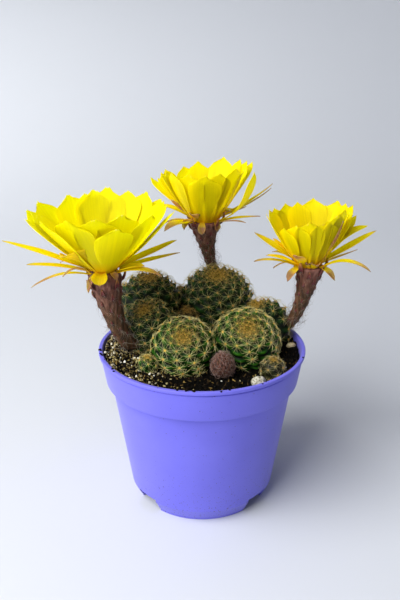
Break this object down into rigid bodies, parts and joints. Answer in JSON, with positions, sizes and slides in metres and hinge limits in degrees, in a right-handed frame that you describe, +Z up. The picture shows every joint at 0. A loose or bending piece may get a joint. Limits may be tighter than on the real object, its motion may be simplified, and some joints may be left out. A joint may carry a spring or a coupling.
{
  "type": "potted cactus",
  "caption": "Clump of small globular spiny cactus heads in a round tapered plastic pot, with long-tubed yellow cup flowers open above it.",
  "frame": {"origin": "under the middle of the whole outline, on the surface that the pot stands on", "axes": "+Z up; +Y from the front of the pot, where the two largest pale heads lean out, to the back; +X to the right seen from the front"},
  "size_m": [0.1472, 0.1005, 0.1349],
  "materials": {
    "pot_violet": "satin",
    "dark_soil": "rough",
    "green_skin": "matte",
    "olive_skin": "matte",
    "woolly_skin": "matte",
    "bud_wool": "matte",
    "tube_skin": "matte",
    "tepal_ochre": "satin",
    "petal_yellow": "satin",
    "stamen_yellow": "matte",
    "pumice": "rough",
    "stone_buff": "rough"
  },
  "bodies": {
    "root": {"pot": "pot_violet", "soil": "dark_soil", "head_back_left": "green_skin", "head_mid_left": "green_skin", "head_back_middle": "green_skin", "head_back_right": "green_skin", "head_small_middle": "woolly_skin", "head_small_back": "woolly_skin", "head_front_left": "olive_skin", "head_front_right": "olive_skin", "offset_front_left": "olive_skin", "offset_front_right": "olive_skin", "flower_bud": "bud_wool", "pumice_disc": "pumice", "stone_chip": "stone_buff", "flower_left_tube": "tube_skin", "flower_left_tepals": "tepal_ochre", "flower_left_petals": "petal_yellow", "flower_left_stamens": "stamen_yellow", "flower_back_tube": "tube_skin", "flower_back_tepals": "tepal_ochre", "flower_back_petals": "petal_yellow", "flower_back_stamens": "stamen_yellow", "flower_right_tube": "tube_skin", "flower_right_tepals": "tepal_ochre", "flower_right_petals": "petal_yellow", "flower_right_stamens": "stamen_yellow"}
  },
  "joints": []
}
